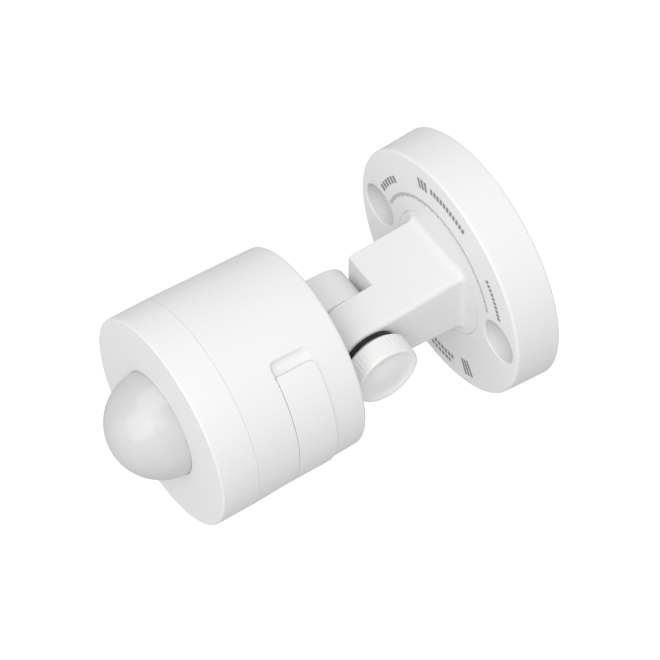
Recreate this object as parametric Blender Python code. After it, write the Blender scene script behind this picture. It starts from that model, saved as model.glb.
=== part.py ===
"""Wall-mounted motion sensor: a round wall base, a swivel arm, and a tilting head with a domed lens.

The origin is the centre of the base's back face, which lies against the wall (the plane y = 0).
The head points along -Y, +Z is up, and the thumb knob is on the +X side. Sizes are in millimetres.
"""

import math

import bmesh
import bpy
from mathutils import Matrix, Vector

MM = 0.001
BIG = 40
MEDIUM = 24
SMALL = 12
HEXAGON = 6
GAP = 0.3

# Wall base
BASE_BACK_R = 30.8
BASE_FRONT_R = 30.35
BASE_DEPTH = 11.05
BASE_FILLET_R = 0.7
BASE_WALL = 2.2
WALL_SCREW_X = 23.1
WALL_SCREW_RECESS_R = 5.3
WALL_SCREW_HOLE_R = 2.3
WALL_SCREW_FLOOR = 2.4
BACK_PLATE_THICK = 1.8
PILOT_R = 1.35
SCREW_HEAD_RECESS_R = 2.7
PLATE_SCREWS = ((14.0, 17.5), (-14.0, -17.5))
CABLE_HOLE_Z = -21.5

# Swivel
TURNTABLE_R = 15.3
TURNTABLE_THICK = 2.55
HUB_R = 12.2
HUB_END_Y = -4.2
LEDGE_Y = (-8.2, -5.6)
RETAINER_R = 15.6
RETAINER_Y = (-3.9, -2.3)
RETAINER_SCREW_Z = 8.5

# Arm and tilt hinge
ARM_X = (-10.15, 9.75)
ARM_HALF_HEIGHT = 8.9
ARM_ROOT_FLARE = 1.2
HINGE_Y = -36.4
HINGE_R = 7.15
HINGE_BOLT_R = 2.5
SHOULDER_Y = -28.5
EAR_X = -0.7
TONGUE_X = -1.05
LEAD_X = -4.2
LEAD_Z = -4.8
LEAD_R = 1.2

# Thumb knob
KNOB_X = (12.4, 17.4)
KNOB_R = (8.1, 7.9)
KNOB_RIM = 0.4
KNOB_DISH_R = 5.6
KNOB_DISH_X = 16.95
KNOB_TIP_X = 17.3
KNOB_POCKET_END_X = 16.2
KNOB_RIBS = 48
KNOB_RIB_DEPTH = 0.15

# Head
HEAD_R = 25.2
HEAD_REAR_R = 24.3
HEAD_WALL = 2.0
HEAD_REAR_Y = -46.8
SEAM_Y = -75.2
FACE_Y = -84.4
FACE_FILLET_R = 0.45
DOME_Y = -84.2
LENS_HOLE_R = 12.86
DOME_R = 12.55
DOME_WALL = 0.8
LENS_FLANGE_R = 15.0
LENS_SCREW_CIRCLE_R = 17.5
BOARD_R = 20.3
BOARD_Y = (-77.6, -76.0)
BOARD_SCREW_Z = 17.5

# Service door and adjusters
DOOR_R = (23.4, 24.9)
DOOR_Y = (-64.5, -54.9)
DOOR_TOP = 50.0
NOTCH_FLOOR_R = 23.7
NOTCH_SPAN = 9.0
DOOR_PIVOT_ANGLE = -51.5
DOOR_PIVOT_R = 24.0
DOOR_TRUNNION_R = 0.9
ADJUSTER_Y = -59.5
ADJUSTER_ZS = {"time": 8.5, "light_level": 0.0, "range": -8.5}

WHITE = (0.86, 0.86, 0.85)
WARM_WHITE = (0.84, 0.83, 0.79)
MILKY = (0.80, 0.81, 0.82)
DARK = (0.05, 0.05, 0.055)
STEEL = (0.55, 0.55, 0.56)
BRASS = (0.72, 0.55, 0.28)
BOARD_GREEN = (0.05, 0.22, 0.10)


def clear_scene():
    for obj in list(bpy.data.objects):
        bpy.data.objects.remove(obj, do_unlink=True)


def material(name, colour, roughness=0.45, metallic=0.0):
    made = bpy.data.materials.new(name)
    made.use_nodes = True
    shader = made.node_tree.nodes["Principled BSDF"]
    shader.inputs["Base Color"].default_value = (*colour, 1.0)
    shader.inputs["Roughness"].default_value = roughness
    shader.inputs["Metallic"].default_value = metallic
    return made


def object_from(name, bm):
    """A new object from a bmesh in millimetres, with its faces turned outwards."""
    bmesh.ops.remove_doubles(bm, verts=bm.verts, dist=1e-5)
    bmesh.ops.recalc_face_normals(bm, faces=bm.faces)
    bmesh.ops.scale(bm, vec=(MM, MM, MM), verts=bm.verts)
    mesh = bpy.data.meshes.new(name)
    bm.to_mesh(mesh)
    bm.free()
    mesh.shade_smooth()
    mesh.set_sharp_from_angle(angle=math.radians(32))
    made = bpy.data.objects.new(name, mesh)
    bpy.context.collection.objects.link(made)
    return made


def circle(radius, count):
    """Points round a circle. Small circles start off the axes, so their edges don't lie on a big one's."""
    start = 0.0 if count >= 40 or count == HEXAGON else 0.07
    angles = [start + math.tau * i / count for i in range(count)]
    return [(radius * math.cos(a), radius * math.sin(a)) for a in angles]


def arc(centre, radius, start, end, steps):
    """Points on an arc, with the angles in degrees."""
    angles = [math.radians(start + (end - start) * i / steps) for i in range(steps + 1)]
    return [(centre[0] + radius * math.cos(a), centre[1] + radius * math.sin(a)) for a in angles]


def flat_cap(first, second, axis):
    """Whether a ring and a point on the axis lie in one plane across the axis."""
    index = "XYZ".index(axis)
    return abs(first[0].co[index] - second[0].co[index]) < 1e-6


def turned(name, outline, axis="Y", at=(0.0, 0.0), count=MEDIUM):
    """A solid turned about an axis parallel to Y or X. The outline is (radius, position on the axis), and
    at is the axis's place: (x, z) for an axis along Y, (y, z) for one along X."""
    bm = bmesh.new()
    rings = []
    for radius, along in outline:
        ring = circle(radius, count) if radius > 0 else [(0.0, 0.0)]
        if axis == "Y":
            rings.append([bm.verts.new((at[0] + u, along, at[1] + v)) for u, v in ring])
        else:
            rings.append([bm.verts.new((along, at[0] + u, at[1] + v)) for u, v in ring])
    for first, second in zip(rings, rings[1:] + rings[:1]):
        if len(first) + len(second) == count + 1 and flat_cap(first, second, axis):
            bm.faces.new(first if len(first) > 1 else second)
            continue
        for i in range(count):
            j = (i + 1) % count
            corners = [first[i % len(first)], first[j % len(first)]]
            corners += [second[j % len(second)], second[i % len(second)]]
            corners = list(dict.fromkeys(corners))
            if len(corners) > 2:
                bm.faces.new(corners)
    bmesh.ops.delete(bm, geom=[vert for vert in bm.verts if not vert.link_faces], context="VERTS")
    return object_from(name, bm)


def rod(name, radius, ends, axis="Y", at=(0.0, 0.0), count=MEDIUM):
    outline = [(0.0, ends[0]), (radius, ends[0]), (radius, ends[1]), (0.0, ends[1])]
    return turned(name, outline, axis, at, count)


def ring(name, radii, ends, axis="Y", at=(0.0, 0.0), count=MEDIUM):
    inner, outer = radii
    outline = [(inner, ends[0]), (outer, ends[0]), (outer, ends[1]), (inner, ends[1])]
    return turned(name, outline, axis, at, count)


def prism(name, outline, axis, ends):
    """An outline pushed along X or Y. It is (y, z) for X, and (x, z) for Y."""
    bm = bmesh.new()
    if axis == "X":
        loops = [[bm.verts.new((end, u, v)) for u, v in outline] for end in ends]
    else:
        loops = [[bm.verts.new((u, end, v)) for u, v in outline] for end in ends]
    bm.faces.new(loops[0])
    bm.faces.new(loops[1])
    for i in range(len(outline)):
        j = (i + 1) % len(outline)
        bm.faces.new((loops[0][i], loops[0][j], loops[1][j], loops[1][i]))
    return object_from(name, bm)


def block(name, xs, ys, zs):
    return prism(name, [(ys[0], zs[0]), (ys[1], zs[0]), (ys[1], zs[1]), (ys[0], zs[1])], "X", xs)


def curved_strip(name, radii, angles, ys, steps):
    """A strip of a tube whose axis is the head's, between two angles from +X towards +Z."""
    outer = arc((0, 0), radii[1], angles[0], angles[1], steps)
    inner = arc((0, 0), radii[0], angles[1], angles[0], steps)
    return prism(name, outer + inner, "Y", ys)


def bevelled(obj, width, segments=1, angle=40):
    modifier = obj.modifiers.new("soft_edges", "BEVEL")
    modifier.width = width * MM
    modifier.segments = segments
    modifier.limit_method = "ANGLE"
    modifier.angle_limit = math.radians(angle)


def combine(obj, other, operation):
    """A Boolean of obj with a helper, which is kept out of renders."""
    other.hide_render = True
    other.display_type = "WIRE"
    modifier = obj.modifiers.new(other.name, "BOOLEAN")
    modifier.operation = operation
    modifier.solver = "EXACT"
    modifier.object = other


def cut(obj, other):
    combine(obj, other, "DIFFERENCE")


def add(obj, other):
    combine(obj, other, "UNION")


def axis_empty(name, world, parent=None):
    """An empty on a joint's axis. The pieces of the moving body are its children."""
    empty = bpy.data.objects.new(name, None)
    empty["world_mm"] = world
    empty.parent = parent
    start = Vector(parent["world_mm"]) if parent else Vector((0, 0, 0))
    empty.location = (Vector(world) - start) * MM
    bpy.context.collection.objects.link(empty)
    return empty


def hold(obj, empty, look):
    """Gives a piece its material and hangs it on its body's empty."""
    obj.data.transform(Matrix.Translation(-Vector(empty["world_mm"]) * MM))
    obj.parent = empty
    obj.data.materials.append(look)
    return obj


def screw(name, at, head_y, head_r, head_thick, shank_r, shank_end, slot=0.5):
    """A pan-head screw along Y. Its head's outer face is at head_y, and its tip at shank_end."""
    inward = 1 if shank_end > head_y else -1
    neck_y = head_y + inward * head_thick
    outline = [(0, head_y), (head_r * 0.8, head_y), (head_r, head_y + inward * head_thick * 0.45)]
    outline += [(head_r, neck_y), (shank_r, neck_y), (shank_r, shank_end), (0, shank_end)]
    made = turned(name, outline, "Y", at, SMALL)
    floor = head_y + inward * slot
    low, high = sorted((head_y - inward, floor))
    xs = (at[0] - 0.25, at[0] + 0.25)
    cut(made, block(name + "_slot", xs, (low, high), (at[1] - head_r, at[1] + head_r)))
    return made


def tangent_angle(corner):
    """Angle, seen along X, of the point where a line from the corner touches the hinge's round end."""
    dy, dz = corner[0] - HINGE_Y, corner[1]
    return math.degrees(math.atan2(dz, dy) + math.acos(HINGE_R / math.hypot(dy, dz)))


def base_shell():
    inner_r = BASE_BACK_R - BASE_WALL
    front = -BASE_DEPTH
    wall_y = front + BASE_WALL
    outline = [(BASE_BACK_R, 0.0)]
    outline += arc((BASE_FRONT_R - BASE_FILLET_R, front + BASE_FILLET_R), BASE_FILLET_R, 0, -90, 3)
    outline += [(TURNTABLE_R + GAP, front), (TURNTABLE_R + GAP, LEDGE_Y[0]), (HUB_R + GAP, LEDGE_Y[0])]
    outline += [(HUB_R + GAP, LEDGE_Y[1]), (TURNTABLE_R + 2.3, LEDGE_Y[1]), (TURNTABLE_R + 2.3, wall_y)]
    outline += [(inner_r - 0.4, wall_y), (inner_r, 0.0)]
    shell = turned("base_shell", outline, count=BIG)
    for side in (-1, 1):
        at = (side * WALL_SCREW_X, 0.0)
        boss_r = WALL_SCREW_RECESS_R + 1.3
        add(shell, rod(f"wall_screw_boss_{side}", boss_r, (wall_y - 0.6, 0.0), at=at))
        recess = (front - 1.0, -WALL_SCREW_FLOOR)
        cut(shell, rod(f"wall_screw_recess_{side}", WALL_SCREW_RECESS_R, recess, at=at))
        cut(shell, rod(f"wall_screw_hole_{side}", WALL_SCREW_HOLE_R, (-4.0, 1.0), at=at))
    for i, at in enumerate(PLATE_SCREWS):
        add(shell, rod(f"plate_pillar_{i}", 3.0, (wall_y - 0.6, -BACK_PLATE_THICK - GAP), at=at, count=SMALL))
        cut(shell, rod(f"plate_pillar_hole_{i}", PILOT_R, (-7.5, 1.0), at=at, count=SMALL))
    return shell


def base_back_plate():
    plate = rod("base_back_plate", BASE_BACK_R - BASE_WALL - 0.6, (-BACK_PLATE_THICK, 0.0), count=BIG)
    for side in (-1, 1):
        at = (side * WALL_SCREW_X, 0.0)
        cut(plate, rod(f"boss_clearance_{side}", WALL_SCREW_RECESS_R + 1.3 + GAP, (-3, 1), at=at))
    for i, at in enumerate(PLATE_SCREWS):
        cut(plate, rod(f"plate_screw_hole_{i}", PILOT_R, (-3, 1), at=at, count=SMALL))
        cut(plate, rod(f"plate_screw_recess_{i}", SCREW_HEAD_RECESS_R, (-1.2, 1), at=at, count=SMALL))
    cut(plate, rod("cable_hole", 4.3, (-3, 1), at=(0, CABLE_HOLE_Z)))
    return plate


def cable_grommet():
    flange_y = -BACK_PLATE_THICK - GAP
    outline = [(3.2, flange_y - 0.8), (5.0, flange_y - 0.8), (5.0, flange_y), (4.0, flange_y)]
    outline += [(4.0, -0.2), (3.2, -0.2)]
    return turned("cable_grommet", outline, at=(0, CABLE_HOLE_Z))


def arm_root():
    """The flared foot of the arm, where it meets the turntable."""
    front = -BASE_DEPTH
    bm = bmesh.new()
    loops = []
    sunk = -0.15
    for y, flare in ((front + 1.0, ARM_ROOT_FLARE), (front, ARM_ROOT_FLARE), (front - ARM_ROOT_FLARE, sunk)):
        low, high = ARM_X[0] - flare, ARM_X[1] + flare
        half = ARM_HALF_HEIGHT + flare
        corners = ((low, -half), (high, -half), (high, half), (low, half))
        loops.append([bm.verts.new((x, y, z)) for x, z in corners])
    bm.faces.new(loops[0])
    bm.faces.new(loops[-1])
    for first, second in zip(loops, loops[1:]):
        for i in range(4):
            j = (i + 1) % 4
            bm.faces.new((first[i], first[j], second[j], second[i]))
    return object_from("arm_root", bm)


def swivel_arm():
    front = -BASE_DEPTH
    back_of_table = front + TURNTABLE_THICK
    outline = [(0, front), (TURNTABLE_R, front), (TURNTABLE_R, back_of_table), (HUB_R, back_of_table)]
    outline += [(HUB_R, HUB_END_Y), (0, HUB_END_Y)]
    arm = turned("swivel_arm", outline, count=BIG)
    corner = (front, ARM_HALF_HEIGHT)
    meet = tangent_angle(corner)
    side = [(front + 1.5, ARM_HALF_HEIGHT), corner]
    side += arc((HINGE_Y, 0), HINGE_R, meet, 360 - meet, 14)
    side += [(corner[0], -corner[1]), (front + 1.5, -ARM_HALF_HEIGHT)]
    post = prism("arm_post", side, "X", ARM_X)
    bevelled(post, 0.8)
    add(arm, post)
    add(arm, arm_root())
    cut(arm, block("lap_space", (-12, EAR_X), (HINGE_Y - 12, SHOULDER_Y), (-12, 12)))
    cut(arm, rod("ear_hole", HINGE_BOLT_R + GAP, (-1, 12), "X", (HINGE_Y, 0)))
    cut(arm, rod("arm_channel", LEAD_R + 0.6, (SHOULDER_Y - 1, 0), at=(LEAD_X, LEAD_Z), count=SMALL))
    for sign in (-1, 1):
        at = (0, sign * RETAINER_SCREW_Z)
        cut(arm, rod(f"hub_screw_hole_{sign}", PILOT_R, (-9.0, 0), at=at, count=SMALL))
    return arm


def swivel_retainer():
    plate = rod("swivel_retainer", RETAINER_R, RETAINER_Y, count=BIG)
    for sign in (-1, 1):
        at = (0, sign * RETAINER_SCREW_Z)
        cut(plate, rod(f"retainer_hole_{sign}", PILOT_R, (-5, 0), at=at, count=SMALL))
        cut(plate, rod(f"retainer_recess_{sign}", SCREW_HEAD_RECESS_R, (-3.3, 0), at=at, count=SMALL))
    cut(plate, rod("retainer_lead_hole", LEAD_R + 0.6, (-5, 0), at=(LEAD_X, LEAD_Z), count=SMALL))
    return plate


def thumb_knob():
    """A knurled knob: each rib is two points of the outline, one on its crest and one in the groove."""
    bm = bmesh.new()
    inner_x, outer_x = KNOB_X
    rows = [(inner_x, KNOB_R[0]), (outer_x - KNOB_RIM, KNOB_R[1])]
    rows += [(outer_x, KNOB_R[1] - KNOB_RIM), (KNOB_DISH_X, KNOB_DISH_R)]
    loops = []
    for along, radius in rows:
        points = []
        for i, (u, v) in enumerate(circle(1.0, 2 * KNOB_RIBS)):
            r = radius if i % 2 == 0 else radius - KNOB_RIB_DEPTH
            points.append(bm.verts.new((along, HINGE_Y + r * u, r * v)))
        loops.append(points)
    count = 2 * KNOB_RIBS
    for first, second in zip(loops, loops[1:]):
        for i in range(count):
            j = (i + 1) % count
            bm.faces.new((first[i], first[j], second[j], second[i]))
    tip = bm.verts.new((KNOB_TIP_X, HINGE_Y, 0))
    for i in range(count):
        bm.faces.new((loops[-1][i], loops[-1][(i + 1) % count], tip))
    bm.faces.new(loops[0])
    knob = object_from("thumb_knob", bm)
    cut(knob, rod("insert_pocket", 4.3, (inner_x - 1, KNOB_POCKET_END_X), "X", (HINGE_Y, 0)))
    return knob


def hinge_bolt():
    """A hexagon-head bolt whose head sits in the tongue and whose thread takes the knob."""
    bolt = rod("hinge_bolt", HINGE_BOLT_R, (-7.0, 15.6), "X", (HINGE_Y, 0))
    add(bolt, rod("bolt_head", 4.0, (-9.3, -6.4), "X", (HINGE_Y, 0), HEXAGON))
    return bolt


def head_housing():
    rear, seam = HEAD_REAR_Y, SEAM_Y
    inner_rear = HEAD_REAR_R - HEAD_WALL
    outline = [(0, rear), (HEAD_REAR_R - 0.7, rear), (HEAD_REAR_R - 0.2, rear - 0.2)]
    outline += [(HEAD_REAR_R, rear - 0.7), (HEAD_R, seam), (HEAD_R - HEAD_WALL, seam)]
    outline += [(inner_rear, rear - HEAD_WALL - 0.2), (0, rear - HEAD_WALL - 0.2)]
    housing = turned("head_housing", outline, count=BIG)
    side = [(rear - 1.0, HINGE_R)] + arc((HINGE_Y, 0), HINGE_R, 90, -90, 12) + [(rear - 1.0, -HINGE_R)]
    tongue = prism("tongue", side, "X", (ARM_X[0], TONGUE_X))
    bevelled(tongue, 0.6)
    add(housing, tongue)
    for sign in (-1, 1):
        at = (0, sign * BOARD_SCREW_Z)
        ends = (BOARD_Y[1] + GAP, rear - 1.0)
        add(housing, rod(f"board_pillar_{sign}", 2.6, ends, at=at, count=SMALL))
        cut(housing, rod(f"board_pillar_hole_{sign}", PILOT_R, (-80, -71), at=at, count=SMALL))
    cut(housing, rod("tongue_hole", HINGE_BOLT_R + 0.05, (-12, 1), "X", (HINGE_Y, 0)))
    cut(housing, rod("bolt_head_pocket", 4.4, (-12, -6.0), "X", (HINGE_Y, 0), HEXAGON))
    cut(housing, rod("tongue_channel", LEAD_R + 0.4, (-52, -25), at=(LEAD_X, LEAD_Z), count=SMALL))
    window_y = (DOOR_Y[0] - GAP, DOOR_Y[1] + GAP)
    window = curved_strip("door_window", (19.0, 28.0), (DOOR_PIVOT_ANGLE, DOOR_TOP + 0.7), window_y, 12)
    cut(housing, window)
    notch_y = (DOOR_Y[0] + 0.2, DOOR_Y[1] - 0.2)
    notch = curved_strip("finger_notch", (NOTCH_FLOOR_R, 28.0), (DOOR_TOP, DOOR_TOP + NOTCH_SPAN), notch_y, 3)
    cut(housing, notch)
    socket = (DOOR_Y[0] - 1.1, DOOR_Y[1] + 1.1)
    cut(housing, rod("trunnion_socket", DOOR_TRUNNION_R + GAP, socket, at=door_pivot(), count=SMALL))
    return housing


def front_bezel():
    spigot_r = HEAD_R - HEAD_WALL - GAP
    bore_r = BOARD_R + 0.6
    inside_y = FACE_Y + HEAD_WALL
    back_y = SEAM_Y - 0.15
    outline = [(LENS_HOLE_R, FACE_Y)]
    outline += arc((HEAD_R - FACE_FILLET_R, FACE_Y + FACE_FILLET_R), FACE_FILLET_R, -90, 0, 2)
    outline += [(HEAD_R, back_y), (spigot_r, back_y), (spigot_r, -72.5)]
    outline += [(bore_r, -72.5), (bore_r, inside_y), (LENS_HOLE_R, inside_y)]
    bezel = turned("front_bezel", outline, count=BIG)
    for i, at in enumerate(lens_screw_places()):
        cut(bezel, rod(f"bezel_screw_hole_{i}", 1.2, (-83.5, -81), at=at, count=SMALL))
    return bezel


def lens_dome():
    back_y = FACE_Y + HEAD_WALL + GAP + 1.0
    flange_y = back_y - 1.0
    inner_r = DOME_R - DOME_WALL
    dome = [(DOME_R * math.sin(a), DOME_Y - DOME_R * math.cos(a)) for a in quarter(7)]
    hollow = [(inner_r * math.sin(a), DOME_Y - inner_r * math.cos(a)) for a in reversed(quarter(5))]
    outline = dome + [(DOME_R, flange_y), (LENS_FLANGE_R, flange_y), (LENS_FLANGE_R, back_y)]
    outline += [(inner_r, back_y)] + hollow
    outline[0] = (0, outline[0][1])
    outline[-1] = (0, outline[-1][1])
    return turned("lens_dome", outline, count=BIG)


def quarter(steps):
    return [math.pi / 2 * i / steps for i in range(steps + 1)]


def lens_screw_places():
    angles = [math.radians(120 * i) for i in range(3)]
    return [(LENS_SCREW_CIRCLE_R * math.cos(a), LENS_SCREW_CIRCLE_R * math.sin(a)) for a in angles]


def lens_retainer():
    retainer = ring("lens_retainer", (12.0, 19.5), (-80.6, -79.6), count=BIG)
    for i, at in enumerate(lens_screw_places()):
        cut(retainer, rod(f"retainer_ring_hole_{i}", 1.2, (-82, -78), at=at, count=SMALL))
    return retainer


def main_pcb():
    board = rod("main_pcb", BOARD_R, BOARD_Y, count=BIG)
    for sign in (-1, 1):
        at = (0, sign * BOARD_SCREW_Z)
        cut(board, rod(f"board_hole_{sign}", PILOT_R, (-79, -74), at=at, count=SMALL))
    return board


def pir_can():
    outline = [(0, -82.9), (3.9, -82.9), (4.1, -82.6), (4.1, -78.6), (4.6, -78.6), (4.6, -77.9), (0, -77.9)]
    return turned("pir_can", outline)


def status_led():
    outline = [(0, -80.6), (0.8, -80.4), (1.3, -79.9), (1.5, -79.2), (1.5, -77.9), (0, -77.9)]
    return turned("status_led", outline, at=(7.0, -7.0), count=SMALL)


def adjuster_fascia():
    fascia = block("adjuster_fascia", (15.4, 16.4), (-66.3, -52.7), (-13.5, 13.5))
    for name, z in ADJUSTER_ZS.items():
        cut(fascia, rod(f"{name}_fascia_hole", 2.6, (14, 18), "X", (ADJUSTER_Y, z)))
    for sign in (-1, 1):
        post = rod(f"fascia_post_{sign}", 1.2, (13.9, 15.9), "X", (-65.0, sign * 12.0), SMALL)
        add(fascia, post)
    return fascia


def dial(name, z):
    """A trimmer's rotor, with a screwdriver slot in its face."""
    made = rod(f"{name}_dial", 2.3, (15.4, 17.1), "X", (ADJUSTER_Y, z))
    slot = block(f"{name}_dial_slot", (16.4, 18), (ADJUSTER_Y - 0.35, ADJUSTER_Y + 0.35), (z - 3, z + 3))
    cut(made, slot)
    return made


def door_pivot():
    angle = math.radians(DOOR_PIVOT_ANGLE)
    return (DOOR_PIVOT_R * math.cos(angle), DOOR_PIVOT_R * math.sin(angle))


def service_door():
    door = curved_strip("service_door", DOOR_R, (DOOR_PIVOT_ANGLE, DOOR_TOP), DOOR_Y, 14)
    ends = (DOOR_Y[0] - 0.8, DOOR_Y[1] + 0.8)
    add(door, rod("door_trunnions", DOOR_TRUNNION_R, ends, at=door_pivot(), count=SMALL))
    return door


def lead(name, points, radius):
    """A jacketed lead: a round tube along its points."""
    curve = bpy.data.curves.new(name, "CURVE")
    curve.dimensions = "3D"
    curve.bevel_depth = radius * MM
    curve.bevel_resolution = 2
    curve.use_fill_caps = True
    spline = curve.splines.new("POLY")
    spline.points.add(len(points) - 1)
    for target, place in zip(spline.points, points):
        target.co = (*(value * MM for value in place), 1.0)
    made = bpy.data.objects.new(name, curve)
    bpy.context.collection.objects.link(made)
    return made


def smooth_route(points, steps):
    """Points of a Catmull-Rom curve through the route's own points."""
    ends = [Vector(p) for p in (points[0], *points, points[-1])]
    route = []
    for a, b, c, d in zip(ends, ends[1:], ends[2:], ends[3:]):
        for i in range(steps):
            t = i / steps
            route.append(0.5 * (2 * b + (c - a) * t + (2 * a - 5 * b + 4 * c - d) * t * t
                                + (3 * b - a - 3 * c + d) * t ** 3))
    return route + [ends[-1]]


def hold_lead(obj, empty, look):
    obj.parent = empty
    obj.location = -Vector(empty["world_mm"]) * MM
    obj.data.materials.append(look)


def build_base(root, white, steel, rubber):
    hold(base_shell(), root, white)
    hold(base_back_plate(), root, white)
    hold(cable_grommet(), root, rubber)
    for i, at in enumerate(PLATE_SCREWS):
        hold(screw(f"plate_screw_{i + 1}", at, -0.1, 2.4, 0.8, 1.05, -6.5, 0.4), root, steel)


def build_arm(swivel, white, steel, rubber):
    hold(swivel_arm(), swivel, white)
    washer = ring("swivel_friction_washer", (HUB_R + 0.4, RETAINER_R - 0.4), (-5.3, HUB_END_Y), count=BIG)
    hold(washer, swivel, rubber)
    hold(swivel_retainer(), swivel, white)
    for i, sign in enumerate((1, -1)):
        at = (0, sign * RETAINER_SCREW_Z)
        hold(screw(f"retainer_screw_{i + 1}", at, -2.3, 2.4, 0.7, 1.05, -8.5, 0.35), swivel, steel)
    run = [(LEAD_X, y, LEAD_Z) for y in (-2.6, -10.0, -19.0, SHOULDER_Y + 0.5)]
    hold_lead(lead("arm_lead", run, LEAD_R), swivel, rubber)


def build_clamp(clamp, knob, dark, warm, brass):
    at = (HINGE_Y, 0)
    hold(ring("knob_flat_washer", (3.0, 7.2), (10.05, 11.0), "X", at, BIG), clamp, dark)
    outline = [(3.0, 11.3), (7.4, 11.3), (7.4, 11.9), (3.0, 12.1)]
    hold(turned("knob_spring_washer", outline, "X", at, BIG), clamp, dark)
    hold(thumb_knob(), knob, warm)
    insert_x = (KNOB_X[0] + 0.2, KNOB_POCKET_END_X - GAP)
    hold(ring("knob_insert", (HINGE_BOLT_R + GAP, 4.0), insert_x, "X", at), knob, brass)


def build_head(tilt, looks):
    hold(head_housing(), tilt, looks["white"])
    hold(hinge_bolt(), tilt, looks["steel"])
    hold(front_bezel(), tilt, looks["white"])
    hold(lens_dome(), tilt, looks["milky"])
    hold(lens_retainer(), tilt, looks["white"])
    for i, at in enumerate(lens_screw_places()):
        hold(screw(f"lens_screw_{i + 1}", at, -78.3, 1.8, 1.0, 0.9, -83.2), tilt, looks["steel"])
    hold(main_pcb(), tilt, looks["board"])
    for i, sign in enumerate((1, -1)):
        at = (0, sign * BOARD_SCREW_Z)
        hold(screw(f"pcb_screw_{i + 1}", at, -79.0, 2.2, 1.1, 1.05, -71.5), tilt, looks["steel"])
    hold(pir_can(), tilt, looks["steel"])
    hold(block("pir_window", (-1.9, 1.9), (-83.5, -83.2), (-1.3, 1.3)), tilt, looks["dark"])
    hold(status_led(), tilt, looks["red"])
    hold(rod("light_sensor", 2.4, (-79.6, -77.9), at=(-7.0, 7.0)), tilt, looks["brass"])
    hold(block("relay", (-16.0, -1.0), (-75.7, -61.0), (-5.8, 5.8)), tilt, looks["dark"])
    hold(rod("supply_capacitor", 4.0, (-75.7, -63.0), at=(6.5, 11.0)), tilt, looks["dark"])
    hold(block("terminal_block", (-6.5, 5.5), (-75.7, -67.5), (-13.4, -7.2)), tilt, looks["board"])
    hold(block("control_chip", (2.0, 9.0), (-75.7, -74.3), (-4.2, 3.2)), tilt, looks["dark"])
    hold(block("adjuster_board", (12.4, 13.6), (-67.0, -52.0), (-14.5, 14.5)), tilt, looks["board"])
    hold(adjuster_fascia(), tilt, looks["white"])
    ys = (ADJUSTER_Y - 3.0, ADJUSTER_Y + 3.0)
    for name, z in ADJUSTER_ZS.items():
        hold(block(f"{name}_trimmer", (13.9, 15.1), ys, (z - 3.0, z + 3.0)), tilt, looks["dark"])
    route = [(LEAD_X, -38.5, LEAD_Z), (LEAD_X, -44.0, LEAD_Z), (LEAD_X, -50.0, LEAD_Z)]
    route += [(-4.0, -55.0, -6.0), (-2.0, -61.0, -9.2), (-1.0, -67.0, -10.3)]
    hold_lead(lead("head_lead", smooth_route(route, 4), LEAD_R), tilt, looks["rubber"])


def build():
    clear_scene()
    looks = {
        "white": material("white_plastic", WHITE),
        "warm": material("knob_plastic", WARM_WHITE, 0.4),
        "milky": material("lens_plastic", MILKY, 0.3),
        "dark": material("dark_plastic", DARK, 0.4),
        "rubber": material("black_rubber", DARK, 0.7),
        "steel": material("zinc_steel", STEEL, 0.35, 1.0),
        "washer": material("washer_steel", STEEL, 0.25, 1.0),
        "brass": material("brass", BRASS, 0.3, 1.0),
        "board": material("circuit_board", BOARD_GREEN, 0.35),
        "red": material("red_lens", (0.6, 0.04, 0.03), 0.2),
    }
    root = axis_empty("base_frame", (0, 0, 0))
    swivel = axis_empty("swivel_axis", (0, -BASE_DEPTH, 0), root)
    tilt = axis_empty("tilt_axis", (0, HINGE_Y, 0), swivel)
    clamp = axis_empty("washer_axis", (10.0, HINGE_Y, 0), swivel)
    knob = axis_empty("knob_axis", (KNOB_X[0], HINGE_Y, 0), clamp)
    build_base(root, looks["white"], looks["steel"], looks["rubber"])
    build_arm(swivel, looks["white"], looks["steel"], looks["rubber"])
    build_clamp(clamp, knob, looks["washer"], looks["warm"], looks["brass"])
    build_head(tilt, looks)
    pivot = door_pivot()
    door_axis = axis_empty("door_axis", (pivot[0], ADJUSTER_Y, pivot[1]), tilt)
    hold(service_door(), door_axis, looks["white"])
    for name, z in ADJUSTER_ZS.items():
        dial_axis = axis_empty(f"{name}_dial_axis", (15.4, ADJUSTER_Y, z), tilt)
        hold(dial(name, z), dial_axis, looks["warm"])


build()
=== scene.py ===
"""Looks of the wall-mounted motion sensor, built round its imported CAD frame.

Lengths in the tables and in the mesh helpers are millimetres in the row's frame, and MM turns them into
metres. The base's back face is the plane y = 0, the head points along -Y, and +Z is up.
"""
import math

import bmesh
import bpy
from mathutils import Matrix, Vector


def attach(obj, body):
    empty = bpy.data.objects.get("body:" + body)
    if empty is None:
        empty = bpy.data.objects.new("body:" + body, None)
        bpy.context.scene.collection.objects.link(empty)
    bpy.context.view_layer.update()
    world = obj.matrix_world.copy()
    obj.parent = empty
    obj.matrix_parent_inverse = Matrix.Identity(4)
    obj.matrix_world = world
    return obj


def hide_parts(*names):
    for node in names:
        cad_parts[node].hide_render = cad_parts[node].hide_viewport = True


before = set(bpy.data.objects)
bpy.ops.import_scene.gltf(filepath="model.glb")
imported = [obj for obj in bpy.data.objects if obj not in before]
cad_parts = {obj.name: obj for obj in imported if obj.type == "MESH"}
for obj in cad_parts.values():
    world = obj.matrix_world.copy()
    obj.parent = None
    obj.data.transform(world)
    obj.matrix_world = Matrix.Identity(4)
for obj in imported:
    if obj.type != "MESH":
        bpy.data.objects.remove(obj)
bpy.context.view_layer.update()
MM = 0.001
SHARP_ANGLE = 32
BEVEL_ANGLE = 40
SEAM_LIP = 0.04
PILOT_R = 1.35

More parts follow.
